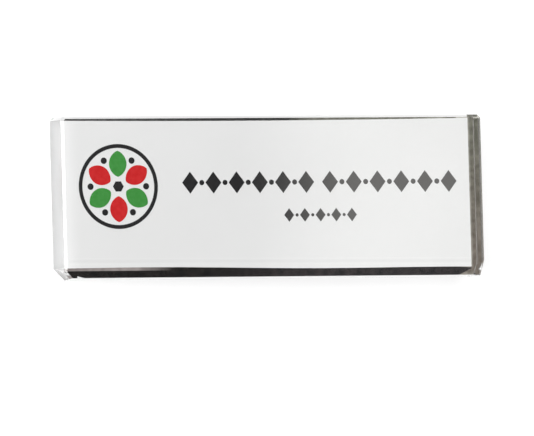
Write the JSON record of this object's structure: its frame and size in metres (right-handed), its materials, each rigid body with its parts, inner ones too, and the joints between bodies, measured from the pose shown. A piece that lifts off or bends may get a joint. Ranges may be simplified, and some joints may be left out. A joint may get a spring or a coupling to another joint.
{
  "type": "name badge",
  "caption": "Oblong clear acrylic name badge: a polished block with a white printed card behind it and a magnet bar on its back.",
  "frame": {"origin": "middle of the magnet bar's back face, on the surface that the badge lies on or the cloth that it is worn on; it is also the middle of the bottom of the bounding box", "axes": "+X along the badge's length, to the reader's right; +Y up the face, towards the top edge; +Z straight out of the face"},
  "size_m": [0.07, 0.025, 0.0095],
  "materials": {
    "clear_acrylic": "polished clear acrylic",
    "white_card": "smooth white printed card",
    "magnet_plastic": "fine-grained black plastic"
  },
  "bodies": {
    "root": {"acrylic_block": "clear_acrylic", "printed_card": "white_card", "magnet_bar": "magnet_plastic"}
  },
  "joints": []
}
